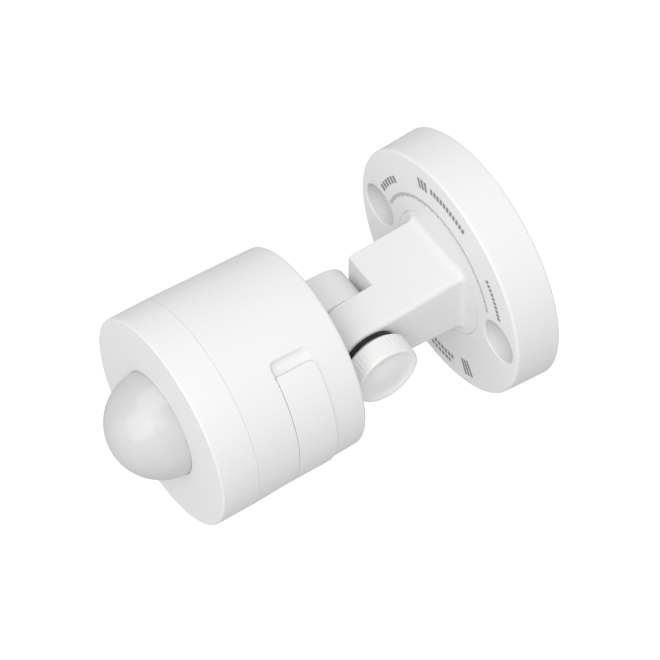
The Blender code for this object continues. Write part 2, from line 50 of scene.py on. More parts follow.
# Wall base
BASE_BACK_R = 30.8
BASE_FRONT_R = 30.35
BASE_FRONT_Y = -11.05
BASE_EDGE = 0.7
BASE_WALL = 2.2
BACK_PLATE_Y = -1.8
WALL_SCREW_X = 23.1
WALL_SCREW_RECESS_R = 5.3
WALL_SCREW_HOLE_R = 2.3
WALL_SCREW_FLOOR_Y = -2.4
PLATE_SCREWS = ((14.0, 17.5), (-14.0, -17.5))
CABLE_HOLE_Z = -21.5
CABLE_HOLE_R = 4.3
BASE_BACK_EDGE = 0.3
BASE_INNER_TAPER = 0.4
BOSS_WALL = 1.3
BOSS_BACK_Y = -0.05
SOCKET_R = (12.5, 17.6)
SOCKET_Y = (-8.2, -5.6)
PILLAR_OVERLAP = 0.6
PLATE_PILLAR_R = 3.0
PLATE_GAP = 0.6
PLATE_SINK_R = 2.7
PLATE_SINK_Y = -1.2
PLATE_GROOVE_R = (24.0, 25.0)
PLATE_GROOVE_Y = -0.3

# Swivel arm and tilt hinge
TURNTABLE_R = 15.3
TURNTABLE_BACK_Y = -8.5
RECESS_R = 15.36
HUB_R = 12.2
HUB_BACK_Y = -4.2
RETAINER_SCREW_Z = 8.5
ARM_X = (-10.15, 9.75)
ARM_HALF_HEIGHT = 8.9
HINGE_Y = -36.4
HINGE_R = 7.15
SHOULDER_Y = -28.5
EAR_X = -0.7
TONGUE_X = -0.74
EAR_HOLE_R = 2.8
LEAD_AT = (-4.2, -4.8)
ARM_CHANNEL_R = 1.8
ARM_OUTER_EDGE = 1.2
ARM_FINE_EDGE = 0.4
ARM_ROOT_R = 1.5

# Head
HEAD_R = 25.2
HEAD_REAR_R = 24.3
HEAD_REAR_Y = -46.8
HEAD_REAR_EDGE = 0.8
HEAD_WALL = 2.0
HEAD_REAR_WALL = 2.2
HEAD_STEPS = 256
HEAD_CHANNEL_R = 1.6
TONGUE_EDGE = 0.12
BOLT_HOLE_R = 2.55
HEX_POCKET_R = 4.4
PCB_SCREW_Z = 17.5
LENS_SCREW_CIRCLE_R = 17.5
SEAM_Y = -75.2
FACE_Y = -84.4
LENS_HOLE_R = 12.63
DOME_Y = -84.2
DOME_R = 12.55
DOOR_R = (23.4, 24.9)
DOOR_Y = (-64.5, -54.9)
DOOR_TOP = 50.0
DOOR_EDGE_TOP = 50.35
DOOR_CORNER_R = 1.7
DOOR_PIVOT_ANGLE = -51.5
DOOR_PIVOT_R = 24.0
DOOR_EDGE = 0.2
DOOR_TRUNNION_R = 0.9
DOOR_SOCKET_R = 1.2
WINDOW_R = (19.0, 28.0)
REBATE_MARGINS = (-0.16, 0.07)
ADJUSTER_Y = -59.5
FASCIA_X = (15.4, 16.4)
DOT_CIRCLE_R = 3.25
DOTS = 9
DIAL_ZS = {"time": 8.5, "light_level": 0.0, "range": -8.5}

# Thumb knob
KNOB_X = (12.4, 17.4)
KNOB_R = (8.1, 7.9)
KNOB_DISH_R = 5.6
KNOB_DISH_X = 16.95
KNOB_TIP_X = 17.3
KNOB_RIBS = 48
KNOB_RIM_EDGE = 0.55
KNOB_POCKET_R = 4.3
KNOB_POCKET_END_X = 16.2
INSERT_R = (2.8, 4.0)
INSERT_X = (12.6, 15.9)
FLAT_WASHER_R = (3.0, 6.9)
FLAT_WASHER_X = (9.95, 11.15)
SPRING_WASHER_TURN = 350
SPRING_WASHER_LIFT = 0.12

# Points round a turned piece
FINE = 192
MEDIUM = 96
SMALL = 48


# ---------------------------------------------------------------- camera, lights and floor

CAMERA_AZIMUTH = 56.06
CAMERA_ELEVATION = 53.37
CAMERA_DISTANCE = 0.895
CAMERA_TARGET = Vector((0.00183, -0.04131, 0.00339))
CAMERA_LENS = 222.7


def camera_back():
    azimuth, elevation = math.radians(CAMERA_AZIMUTH), math.radians(CAMERA_ELEVATION)
    flat = math.cos(elevation)
    return Vector((math.sin(azimuth) * flat, -math.cos(azimuth) * flat, math.sin(elevation)))


def make_camera():
    camera = bpy.data.objects.new("camera", bpy.data.cameras.new("camera"))
    camera.data.lens = CAMERA_LENS
    camera.data.sensor_width = 36.0
    camera.data.clip_start = 0.01
    camera.data.clip_end = 20.0
    camera.location = CAMERA_TARGET + camera_back() * CAMERA_DISTANCE
    camera.rotation_euler = camera_back().to_track_quat("Z", "Y").to_euler()
    bpy.context.scene.collection.objects.link(camera)
    bpy.context.scene.camera = camera


SKY_LIGHT = 0.74
FLOOR_HALF_WIDTH = 3.0
FLOOR_Z = -0.25
LIGHT_DISTANCE = 1.2
LIGHT_SIZE = 0.8
KEY_DIRECTION = Vector((0.42, -0.446, 0.79))
KEY_POWER = 6.9
FILL_DIRECTION = Vector((0.10, -0.93, 0.35))
FILL_POWER = 1.8


def area_light(name, direction, power):
    """A round soft light, aimed at the object's middle from this direction."""
    light = bpy.data.lights.new(name, "AREA")
    light.shape = "DISK"
    light.size = LIGHT_SIZE
    light.energy = power
    lamp = bpy.data.objects.new(name, light)
    lamp.location = CAMERA_TARGET + direction.normalized() * LIGHT_DISTANCE
    lamp.rotation_euler = direction.to_track_quat("Z", "Y").to_euler()
    bpy.context.scene.collection.objects.link(lamp)


def make_studio():
    scene = bpy.context.scene
    scene.view_settings.view_transform = "Standard"
    world = bpy.data.worlds.new("studio")
    world.use_nodes = True
    sky = world.node_tree.nodes["Background"]
    sky.inputs["Color"].default_value = (1.0, 1.0, 1.0, 1.0)
    strength = seen_directly(world.node_tree, SKY_LIGHT, 1.0)
    world.node_tree.links.new(strength, sky.inputs["Strength"])
    scene.world = world
    area_light("key", KEY_DIRECTION, KEY_POWER)
    area_light("fill", FILL_DIRECTION, FILL_POWER)
    bm = bmesh.new()
    bmesh.ops.create_grid(bm, x_segments=1, y_segments=1, size=FLOOR_HALF_WIDTH)
    mesh = bpy.data.meshes.new("floor")
    bm.to_mesh(mesh)
    bm.free()
    floor = bpy.data.objects.new("floor", mesh)
    floor.location = (0.0, 0.0, FLOOR_Z)
    bpy.context.scene.collection.objects.link(floor)
    floor.data.materials.append(plain_floor())


# ---------------------------------------------------------------- materials

def shader_of(name, colour, roughness, metallic=0.0):
    made = bpy.data.materials.new(name)
    made.use_nodes = True
    shader = made.node_tree.nodes["Principled BSDF"]
    shader.inputs["Base Color"].default_value = (*colour, 1.0)
    shader.inputs["Roughness"].default_value = roughness
    shader.inputs["Metallic"].default_value = metallic
    return made, made.node_tree, shader


def texture(tree, kind, scale, **values):
    node = tree.nodes.new(kind)
    place = tree.nodes.new("ShaderNodeTexCoord")
    tree.links.new(place.outputs["Object"], node.inputs["Vector"])
    node.inputs["Scale"].default_value = scale
    for socket, value in values.items():
        node.inputs[socket].default_value = value
    return node


def ramp(tree, source, low, high, start=0.3, end=0.7):
    node = tree.nodes.new("ShaderNodeMapRange")
    node.inputs["From Min"].default_value = start
    node.inputs["From Max"].default_value = end
    node.inputs["To Min"].default_value = low
    node.inputs["To Max"].default_value = high
    tree.links.new(source, node.inputs["Value"])
    return node.outputs["Result"]


def mottled(tree, shader, source, first, second, start=0.3, end=0.7):
    """Base colour that drifts between two close colours."""
    node = tree.nodes.new("ShaderNodeMix")
    node.data_type = "RGBA"
    node.inputs["A"].default_value = (*first, 1.0)
    node.inputs["B"].default_value = (*second, 1.0)
    tree.links.new(ramp(tree, source, 0.0, 1.0, start, end), node.inputs["Factor"])
    tree.links.new(node.outputs["Result"], shader.inputs["Base Color"])


def bumped(tree, shader, source, distance):
    node = tree.nodes.new("ShaderNodeBump")
    node.inputs["Strength"].default_value = 1.0
    node.inputs["Distance"].default_value = distance
    tree.links.new(source, node.inputs["Height"])
    tree.links.new(node.outputs["Normal"], shader.inputs["Normal"])


def seen_directly(tree, lighting, seen):
    """A value that is seen by the camera, with another value for the light that falls on the object."""
    path = tree.nodes.new("ShaderNodeLightPath")
    return ramp(tree, path.outputs["Is Camera Ray"], lighting, seen, 0.0, 1.0)


def plain_floor():
    """White to the camera, as an overlit backdrop is, and a pale grey in the light that it throws back."""
    made, tree, shader = shader_of("studio_floor", (0.57, 0.57, 0.57), 0.9)
    shader.inputs["Emission Color"].default_value = (1.0, 1.0, 1.0, 1.0)
    tree.links.new(seen_directly(tree, 0.0, 0.6), shader.inputs["Emission Strength"])
    grain = texture(tree, "ShaderNodeTexNoise", 3.0, Detail=2.0)
    mottled(tree, shader, grain.outputs["Fac"], (0.565, 0.565, 0.565), (0.575, 0.575, 0.575))
    return made


MOULDED_DRIFT = (0.985, 0.984, 0.98)


def moulded(name, colour, roughness=0.4, grain=0.000006):
    """Moulded plastic with a fine spark-eroded grain, slow tone drift and uneven gloss."""
    made, tree, shader = shader_of(name, colour, roughness)
    drift = texture(tree, "ShaderNodeTexNoise", 35.0, Detail=3.0)
    warm = tuple(value * factor for value, factor in zip(colour, MOULDED_DRIFT))
    mottled(tree, shader, drift.outputs["Fac"], colour, warm)
    fine = texture(tree, "ShaderNodeTexNoise", 3200.0, Detail=2.0, Roughness=0.6)
    gloss = ramp(tree, drift.outputs["Fac"], roughness - 0.03, roughness + 0.05)
    tree.links.new(gloss, shader.inputs["Roughness"])
    bumped(tree, shader, fine.outputs["Fac"], grain)
    return made


def milky_lens():
    """Polyethylene lens: milky and slightly see-through, with faint lens fields, and with painted patches in
    its colour that stand partly for reflections of the studio lights and partly for the inner parts seen
    through it.
    """
    made, tree, shader = shader_of("lens_polyethylene", (0.74, 0.735, 0.745), 0.34)
    shader.inputs["Subsurface Weight"].default_value = 0.35
    shader.inputs["Subsurface Radius"].default_value = (1.0, 1.0, 1.0)
    shader.inputs["Subsurface Scale"].default_value = 0.002
    shader.inputs["Transmission Weight"].default_value = 0.18
    shader.inputs["IOR"].default_value = 1.5
    fields = tree.nodes.new("ShaderNodeAttribute")
    fields.attribute_name = LENS_TONE_AND_PAINTED_REFLECTION
    # Painted patches: the lens colour runs between these two by each field's tone, standing partly for
    # reflections of the studio lights and partly for the inner parts seen through the dome.
    mottled(tree, shader, fields.outputs["Fac"], (0.67, 0.67, 0.675), (0.81, 0.80, 0.815), 0.0, 1.0)
    ripple = texture(tree, "ShaderNodeTexNoise", 160.0, Detail=1.0)
    bumped(tree, shader, ripple.outputs["Fac"], 0.00012)
    return made


METAL_BLOTCH_SCALE = 900.0
METAL_FINE_SCALE = 2600.0
METAL_WEAR = 0.12


def metal(name, colour, roughness):
    made, tree, shader = shader_of(name, colour, roughness, 1.0)
    blotch = texture(tree, "ShaderNodeTexNoise", METAL_BLOTCH_SCALE, Detail=4.0)
    dull = tuple(value * (1.0 - METAL_WEAR) for value in colour)
    mottled(tree, shader, blotch.outputs["Fac"], colour, dull)
    gloss = ramp(tree, blotch.outputs["Fac"], roughness * 0.8, roughness * 1.3)
    tree.links.new(gloss, shader.inputs["Roughness"])
    fine = texture(tree, "ShaderNodeTexNoise", METAL_FINE_SCALE, Detail=2.0)
    bumped(tree, shader, fine.outputs["Fac"], 0.000004)
    return made


def board_mask():
    """White solder mask over copper tracks: a squared pattern shows faintly through it."""
    made, tree, shader = shader_of("board_mask", (0.62, 0.64, 0.60), 0.35)
    tracks = texture(tree, "ShaderNodeTexBrick", 300.0)
    tracks.inputs["Mortar Size"].default_value = 0.03
    mottled(tree, shader, tracks.outputs["Fac"], (0.62, 0.64, 0.60), (0.50, 0.54, 0.48), 0.0, 1.0)
    bumped(tree, shader, tracks.outputs["Fac"], 0.00003)
    return made


def make_looks():
    return {
        "white": moulded("white_plastic", (0.80, 0.80, 0.80)),
        # Painted shade: a darker copy of the white plastic, for the shade deep inside the screw wells.
        "well": moulded("screw_well_painted_shade", (0.75, 0.75, 0.75), 0.5),
        "inner": moulded("inner_white_plastic", (0.72, 0.72, 0.71), 0.5),
        "knob": moulded("knob_plastic", (0.85, 0.85, 0.845), 0.33),
        "dial": moulded("dial_plastic", (0.62, 0.60, 0.52), 0.4),
        "ink": moulded("grey_ink", (0.26, 0.26, 0.27), 0.55, 0.000002),
        "dark": moulded("dark_plastic", (0.035, 0.035, 0.04), 0.4),
        "green": moulded("terminal_plastic", (0.05, 0.20, 0.09), 0.4),
        "rubber": moulded("black_rubber", (0.03, 0.03, 0.032), 0.75, 0.00002),
        "jacket": moulded("cable_jacket", (0.06, 0.06, 0.065), 0.6, 0.00001),
        "ceramic": moulded("sensor_ceramic", (0.55, 0.36, 0.18), 0.45),
        "red": moulded("red_lens", (0.55, 0.03, 0.02), 0.15, 0.000002),
        "lens": milky_lens(),
        "steel": metal("zinc_steel", (0.50, 0.50, 0.51), 0.32),
        "washer": metal("washer_steel", (0.05, 0.05, 0.052), 0.12),
        "bright": metal("spring_steel", (0.60, 0.60, 0.61), 0.15),
        "brass": metal("brass", (0.62, 0.42, 0.16), 0.3),
        "board": board_mask(),
    }


# ---------------------------------------------------------------- mesh helpers

def circle(radius, count, start=0.0):
    angles = [start + math.tau * i / count for i in range(count)]
    return [(radius * math.cos(a), radius * math.sin(a)) for a in angles]


def arc(centre, radius, start, end, steps):
    """Points on an arc, with the angles in degrees."""
    angles = [math.radians(start + (end - start) * i / steps) for i in range(steps + 1)]
    return [(centre[0] + radius * math.cos(a), centre[1] + radius * math.sin(a)) for a in angles]


def rounded(outline, sizes, steps=5):
    """A closed outline with its corners rounded: sizes gives the cut-back at each corner, or 0."""
    made = []
    count = len(outline)
    for i, size in enumerate(sizes):
        here = Vector(outline[i])
        if not size:
            made.append(tuple(here))
            continue
        before = Vector(outline[i - 1]) - here
        after = Vector(outline[(i + 1) % count]) - here
        start = here + before.normalized() * size
        end = here + after.normalized() * size
        for step in range(steps + 1):
            t = step / steps
            made.append(tuple(start * (1 - t) ** 2 + here * 2 * t * (1 - t) + end * t * t))
    return made


def object_from(name, bm):
    bmesh.ops.remove_doubles(bm, verts=bm.verts, dist=1e-5)
    bmesh.ops.recalc_face_normals(bm, faces=bm.faces)
    bmesh.ops.scale(bm, vec=(MM, MM, MM), verts=bm.verts)
    mesh = bpy.data.meshes.new(name)
    bm.to_mesh(mesh)
    bm.free()
    made = bpy.data.objects.new(name, mesh)
    bpy.context.scene.collection.objects.link(made)
    return made


def ring_points(axis, at, along, ring):
    if axis == "Y":
        return [(at[0] + u, along, at[1] + v) for u, v in ring]
    return [(along, at[0] + u, at[1] + v) for u, v in ring]


def turned(name, outline, axis="Y", at=(0.0, 0.0), count=FINE, start=0.0):
    """A solid turned about an axis along Y or X. The outline is (radius, position on the axis)."""
    bm = bmesh.new()
    rings = []
    for radius, along in outline:
        ring = circle(radius, count, start) if radius > 1e-6 else [(0.0, 0.0)]
        rings.append([bm.verts.new(p) for p in ring_points(axis, at, along, ring)])
    for first, second in zip(rings, rings[1:] + rings[:1]):
        if len(first) == 1 and len(second) == 1:
            continue
        for i in range(count):
            j = (i + 1) % count
            corners = [first[i % len(first)], first[j % len(first)]]
            corners += [second[j % len(second)], second[i % len(second)]]
            corners = list(dict.fromkeys(corners))
            if len(corners) > 2:
                bm.faces.new(corners)
    return object_from(name, bm)


def rod(name, radius, ends, axis="Y", at=(0.0, 0.0), count=MEDIUM, edge=0.0):
    """A round bar, with its end edges rounded by edge."""
    outline = [(0.0, ends[0]), (radius, ends[0]), (radius, ends[1]), (0.0, ends[1])]
    if edge:
        outline = rounded(outline, (0, edge, edge, 0), 4)
    return turned(name, outline, axis, at, count, 0.01)


def hoop(name, radii, ends, axis="Y", at=(0.0, 0.0), count=MEDIUM, edge=0.1):
    inner, outer = radii
    outline = [(inner, ends[0]), (outer, ends[0]), (outer, ends[1]), (inner, ends[1])]
    return turned(name, rounded(outline, (edge,) * 4, 3), axis, at, count)


def bridge(bm, rings):
    """Faces between each ring of vertices and the next."""
    for first, second in zip(rings, rings[1:]):
        for i in range(len(first)):
            j = (i + 1) % len(first)
            bm.faces.new((first[i], first[j], second[j], second[i]))


def closed_loft(bm, loops):
    """A solid through loops of the same number of points, with its two ends closed."""
    rings = [[bm.verts.new(point) for point in loop] for loop in loops]
    bm.faces.new(rings[0])
    bm.faces.new(rings[-1])
    bridge(bm, rings)


def lofted(name, loops):
    bm = bmesh.new()
    closed_loft(bm, loops)
    return object_from(name, bm)


def prism(name, outline, axis, ends):
    if axis == "X":
        return lofted(name, [[(end, u, v) for u, v in outline] for end in ends])
    return lofted(name, [[(u, end, v) for u, v in outline] for end in ends])


def block(name, xs, ys, zs):
    return prism(name, [(ys[0], zs[0]), (ys[1], zs[0]), (ys[1], zs[1]), (ys[0], zs[1])], "X", xs)


def curved_strip(name, radii, angles, ys, steps):
    outer = arc((0, 0), radii[1], angles[0], angles[1], steps)
    inner = arc((0, 0), radii[0], angles[1], angles[0], steps)
    return prism(name, outer + inner, "Y", ys)


def bevelled(obj, width, segments=3):
    modifier = obj.modifiers.new("soft_edges", "BEVEL")
    modifier.width = width * MM
    modifier.segments = segments
    modifier.limit_method = "ANGLE"
    modifier.angle_limit = math.radians(BEVEL_ANGLE)


def combine(obj, other, operation):
    modifier = obj.modifiers.new(operation.lower(), "BOOLEAN")
    modifier.operation = operation
    modifier.solver = "EXACT"
    modifier.object = other
    return other


def settled(obj, *helpers, sharp=SHARP_ANGLE):
    """Applies an object's modifiers, removes the helpers they used, and shades it."""
    graph = bpy.context.evaluated_depsgraph_get()
    mesh = bpy.data.meshes.new_from_object(obj.evaluated_get(graph))
    obj.modifiers.clear()
    old = obj.data
    obj.data = mesh
    bpy.data.meshes.remove(old)
    mesh.name = obj.name
    for helper in helpers:
        bpy.data.objects.remove(helper, do_unlink=True)
    mesh.shade_smooth()
    mesh.set_sharp_from_angle(angle=math.radians(sharp))
    return obj


THINNEST = 0.001


def without_slivers(obj):
    """Clears the hair-thin triangles that booleans leave, which would shade as dark spokes."""
    bm = bmesh.new()
    bm.from_mesh(obj.data)
    bmesh.ops.dissolve_degenerate(bm, dist=THINNEST * MM, edges=bm.edges)
    bmesh.ops.recalc_face_normals(bm, faces=bm.faces)
    bm.to_mesh(obj.data)
    bm.free()
    obj.data.set_sharp_from_angle(angle=math.radians(SHARP_ANGLE))


def cut(obj, *cutters, sharp=SHARP_ANGLE):
    for cutter in cutters:
        combine(obj, cutter, "DIFFERENCE")
    return settled(obj, *cutters, sharp=sharp)


def piece(obj, body, slot, look, *nodes):
    """Dresses a finished piece, hangs it on its body and hides the CAD nodes it stands for."""
    obj.data.materials.clear()
    obj.data.materials.append(look)
    if not obj.data.polygons[0].use_smooth:
        settled(obj)
    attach(obj, body)
    if nodes:
        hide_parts(*nodes)
    return obj


RECESS_LIP = 0.35


def recess(name, at, radius, face_y, floor_y):
    """A cutter for a blind round hole in a face along -Y, with a rounded lip and a chamfered floor."""
    lip = RECESS_LIP
    outline = [(0.0, face_y - 1.0), (radius + lip, face_y - 1.0), (radius + lip, face_y)]
    for a in quarter(5):
        outline.append((radius + lip * (1 - math.sin(a)), face_y + lip * (1 - math.cos(a))))
    outline += [(radius, floor_y - 0.4), (radius - 0.4, floor_y), (0.0, floor_y)]
    return turned(name, outline, at=at, count=MEDIUM, start=0.013)


def quarter(steps):
    return [math.pi / 2 * i / steps for i in range(steps + 1)]


def pan_screw(name, at, head_y, head_r, head_thick, shank_r, shank_end):
    """A pan-head screw along Y with a cross recess and a rolled thread."""
    inward = 1 if shank_end > head_y else -1
    outline = [(0.0, head_y)]
    for a in quarter(8)[1:]:
        outline.append((head_r * math.sin(a), head_y + inward * head_thick * 0.75 * (1 - math.cos(a))))
    outline += [(head_r, head_y + inward * head_thick), (shank_r, head_y + inward * head_thick)]
    y = head_y + inward * (head_thick + 0.3)
    while (shank_end - y) * inward > 0.5:
        outline += [(shank_r, y), (shank_r * 0.82, y + inward * 0.2)]
        y += inward * 0.4
    outline += [(shank_r * 0.8, shank_end - inward * 0.4), (0.0, shank_end)]
    made = turned(name, outline, at=at, count=SMALL)
    floor = head_y + inward * head_thick * 0.6
    low, high = sorted((head_y - inward, floor))
    arm = head_r * 0.55
    bars = [((at[0] - w, at[0] + w), (at[1] - h, at[1] + h)) for w, h in ((0.2, arm), (arm, 0.2))]
    for xs, zs in bars:
        cut(made, block("cross_bar", xs, (low, high), zs))
    return made


# ---------------------------------------------------------------- wall base

def make_base(looks):
    inner_r = BASE_BACK_R - BASE_WALL
    front = BASE_FRONT_Y
    inside = front + BASE_WALL
    edge = BASE_EDGE
    outline = [(BASE_BACK_R - BASE_BACK_EDGE, 0.0), (BASE_BACK_R, -BASE_BACK_EDGE)]
    centre = (BASE_FRONT_R - edge, front + edge)
    outline += [(centre[0] + edge * math.cos(a), centre[1] - edge * math.sin(a)) for a in quarter(10)]
    outline += [(RECESS_R + SEAM_LIP, front), (RECESS_R, front + SEAM_LIP)]
    outline += [(RECESS_R, SOCKET_Y[0]), (SOCKET_R[0], SOCKET_Y[0]), (SOCKET_R[0], SOCKET_Y[1])]
    outline += [(SOCKET_R[1], SOCKET_Y[1]), (SOCKET_R[1], inside)]
    outline += [(inner_r - BASE_INNER_TAPER, inside), (inner_r, 0.0)]
    shell = turned("base_shell_fine", outline)
    helpers = []
    boss_r = WALL_SCREW_RECESS_R + BOSS_WALL
    for side in (-1, 1):
        at = (side * WALL_SCREW_X, 0.0)
        boss = rod("boss", boss_r, (inside - PILLAR_OVERLAP, BOSS_BACK_Y), at=at)
        helpers.append(combine(shell, boss, "UNION"))
        well = recess("well", at, WALL_SCREW_RECESS_R, front, WALL_SCREW_FLOOR_Y)
        helpers.append(combine(shell, well, "DIFFERENCE"))
        helpers.append(combine(shell, rod("hole", WALL_SCREW_HOLE_R, (-4.0, 1.0), at=at), "DIFFERENCE"))
    for at in PLATE_SCREWS:
        pillar = rod("pillar", PLATE_PILLAR_R, (inside - PILLAR_OVERLAP, -2.1), at=at, count=SMALL)
        helpers.append(combine(shell, pillar, "UNION"))
        helpers.append(combine(shell, rod("bore", PILOT_R, (-7.5, 1.0), at=at, count=SMALL), "DIFFERENCE"))
    settled(shell, *helpers)
    without_slivers(shell)
    piece(shell, "base", "white_plastic", looks["white"], "base_shell")
    # Painted shade: faces deep inside the two screw wells take the darker copy of the white plastic, for the
    # shade that falls in them.
    shell.data.materials.append(looks["well"])
    for face in shell.data.polygons:
        centre = face.center / MM
        from_screw = math.hypot(abs(centre.x) - WALL_SCREW_X, centre.z)
        if from_screw < WALL_SCREW_RECESS_R + 0.05 and front + 0.6 < centre.y < WALL_SCREW_FLOOR_Y + 0.1:
            face.material_index = 1
    make_back_plate(looks, boss_r)
    make_print(looks)


def make_back_plate(looks, boss_r):
    plate_r = BASE_BACK_R - BASE_WALL - PLATE_GAP
    plate = rod("base_back_plate_fine", plate_r, (BACK_PLATE_Y, 0.0), count=FINE, edge=0.3)
    cutters = [rod("notch", boss_r + 0.3, (-3, 1), at=(side * WALL_SCREW_X, 0.0)) for side in (-1, 1)]
    for at in PLATE_SCREWS:
        cutters.append(rod("bore", PILOT_R, (-3, 1), at=at, count=SMALL))
        cutters.append(rod("sink", PLATE_SINK_R, (PLATE_SINK_Y, 1), at=at, count=SMALL))
    cutters.append(rod("cable_hole", CABLE_HOLE_R, (-3, 1), at=(0, CABLE_HOLE_Z)))
    cutters.append(hoop("groove", PLATE_GROOVE_R, (PLATE_GROOVE_Y, 1), count=FINE, edge=0))
    cut(plate, *cutters)
    piece(plate, "base", "white_plastic", looks["white"], "base_back_plate")
    outline = [(3.2, -2.9), (5.0, -2.9), (5.0, -2.1), (4.0, -2.1), (4.0, -0.2), (3.2, -0.2)]
    grommet = turned("cable_grommet_fine", rounded(outline, (0.2, 0.3, 0.15, 0, 0.2, 0.3)),
                     at=(0, CABLE_HOLE_Z), count=MEDIUM)
    piece(grommet, "base", "black_rubber", looks["rubber"], "cable_grommet")
    for i, at in enumerate(PLATE_SCREWS):
        made = pan_screw(f"plate_screw_{i + 1}_fine", at, -0.1, 2.4, 0.8, 1.05, -6.5)
        piece(made, "base", "zinc_steel", looks["steel"], f"plate_screw_{i + 1}")


PRINT_SCALE_R = (19.1, 19.9)
PRINT_SCALE_ANGLES = (17.5, 164.0)
PRINT_SCALE_STEP = 1.5
PRINT_TICK = 0.7
PRINT_LONG_TICK = 0.35
PRINT_DASH_SHARE = 0.72
PRINT_HALF_THICK = 0.02
PRINT_BARS = (  # (from angle, to angle, inner radius, outer radius, dashes)
    (138.0, 163.0, 22.3, 24.0, 6),
    (102.5, 111.0, 23.5, 26.4, 3),
    (69.5, 100.0, 24.3, 26.0, 11),
    (18.0, 43.5, 23.5, 24.7, 10),
    (-94.0, -73.0, 24.4, 25.6, 7),
    (-93.0, -76.0, 26.2, 27.3, 6),
    (-65.0, -57.0, 23.0, 27.4, 3),
)


def dash(bm, angles, radii, y):
    """A thin raised patch of ink on the base's face, between two angles and two radii."""
    steps = max(1, round((angles[1] - angles[0]) / 1.5))
    outer = arc((0, 0), radii[1], angles[0], angles[1], steps)
    inner = arc((0, 0), radii[0], angles[1], angles[0], steps)
    ends = (y - PRINT_HALF_THICK, y + PRINT_HALF_THICK)
    closed_loft(bm, [[(u, end, v) for u, v in outer + inner] for end in ends])


def make_print(looks):
    """Plain marks in place of lettering: a fine swivel scale, and short bars outside it."""
    bm = bmesh.new()
    angle = PRINT_SCALE_ANGLES[0]
    tick = 0
    while angle < PRINT_SCALE_ANGLES[1]:
        longer = PRINT_LONG_TICK if tick % 5 == 0 else 0.0
        dash(bm, (angle, angle + PRINT_TICK), (PRINT_SCALE_R[0] - longer, PRINT_SCALE_R[1]), BASE_FRONT_Y)
        angle += PRINT_SCALE_STEP
        tick += 1
    for start, end, inner, outer, dashes in PRINT_BARS:
        pitch = (end - start) / dashes
        for i in range(dashes):
            low = start + i * pitch
            dash(bm, (low, low + pitch * PRINT_DASH_SHARE), (inner, outer), BASE_FRONT_Y)
    marks = object_from("base_print", bm)
    piece(marks, "base", "dark_plastic", looks["ink"])


# ---------------------------------------------------------------- swivel arm and clamp

def tangent_angle(corner):
    """Angle, seen along X, where a line from the corner touches the hinge's round end."""
    dy, dz = corner[0] - HINGE_Y, corner[1]
    return math.degrees(math.atan2(dz, dy) + math.acos(HINGE_R / math.hypot(dy, dz)))


def make_arm(looks):
    front = BASE_FRONT_Y
    corner = (front, ARM_HALF_HEIGHT)
    meet = tangent_angle(corner)
    side = [(front + 1.5, ARM_HALF_HEIGHT), corner]
    side += arc((HINGE_Y, 0), HINGE_R, meet, 360 - meet, 60)
    side += [(corner[0], -corner[1]), (front + 1.5, -ARM_HALF_HEIGHT)]
    post = prism("arm_post", side, "X", ARM_X)
    lap = combine(post, block("lap", (-12, EAR_X), (HINGE_Y - 12, SHOULDER_Y), (-12, 12)), "DIFFERENCE")
    settled(post, lap)
    softened_arm(post)
    outline = [(0, front), (TURNTABLE_R - SEAM_LIP, front), (TURNTABLE_R, front + SEAM_LIP)]
    outline += [(TURNTABLE_R, TURNTABLE_BACK_Y), (HUB_R, TURNTABLE_BACK_Y), (HUB_R, HUB_BACK_Y)]
    outline.append((0, HUB_BACK_Y))
    arm = turned("swivel_arm_fine", outline)
    helpers = [combine(arm, post, "UNION"), combine(arm, arm_root(), "UNION")]
    cutters = [rod("ear_hole", EAR_HOLE_R, (-1, 12), "X", (HINGE_Y, 0))]
    cutters.append(rod("channel", ARM_CHANNEL_R, (SHOULDER_Y - 1, 0), at=LEAD_AT, count=SMALL))
    for z in (-RETAINER_SCREW_Z, RETAINER_SCREW_Z):
        cutters.append(rod("bore", PILOT_R, (-9.0, 0), at=(0, z), count=SMALL))
    helpers += [combine(arm, cutter, "DIFFERENCE") for cutter in cutters]
    settled(arm, *helpers)
    piece(arm, "arm", "white_plastic", looks["white"], "swivel_arm")


def arm_root():
    """The hollow fillet round the arm's foot, where it meets the turntable."""
    front = BASE_FRONT_Y
    meet = math.radians(tangent_angle((front, ARM_HALF_HEIGHT)))
    taper = (ARM_HALF_HEIGHT - HINGE_R * math.sin(meet)) / (front - HINGE_Y - HINGE_R * math.cos(meet))
    loops = []
    fillet = arc((front - ARM_ROOT_R, ARM_ROOT_R), ARM_ROOT_R, 0, -90, 8)
    for y, flare in [(front + 1.0, ARM_ROOT_R)] + fillet:
        half = ARM_HALF_HEIGHT - taper * max(0.0, front - y) + flare
        low, high = ARM_X[0] - flare, ARM_X[1] + flare
        corners = [(low, -half), (high, -half), (high, half), (low, half)]
        edges = (ARM_FINE_EDGE, ARM_OUTER_EDGE, ARM_OUTER_EDGE, ARM_FINE_EDGE)
        sizes = [radius + flare for radius in edges]
        loops.append([(x, y, z) for x, z in rounded(corners, sizes, 6)])
    return lofted("arm_root", loops)


def softened_arm(post):
    """Rounds the arm's edges: broadly along its outer side, and finely everywhere else."""
    bm = bmesh.new()
    bm.from_mesh(post.data)
    weights = bm.edges.layers.float.new("bevel_weight_edge")
    for edge in bm.edges:
        if len(edge.link_faces) == 2 and edge.calc_face_angle() > math.radians(BEVEL_ANGLE):
            outer = all(vert.co.x > (ARM_X[1] - 0.1) * MM for vert in edge.verts)
            edge[weights] = 1.0 if outer else ARM_FINE_EDGE / ARM_OUTER_EDGE
    bm.to_mesh(post.data)
    bm.free()
    bevelled(post, ARM_OUTER_EDGE, 5)
    post.modifiers["soft_edges"].limit_method = "WEIGHT"
    post.modifiers["soft_edges"].use_clamp_overlap = False
    settled(post)


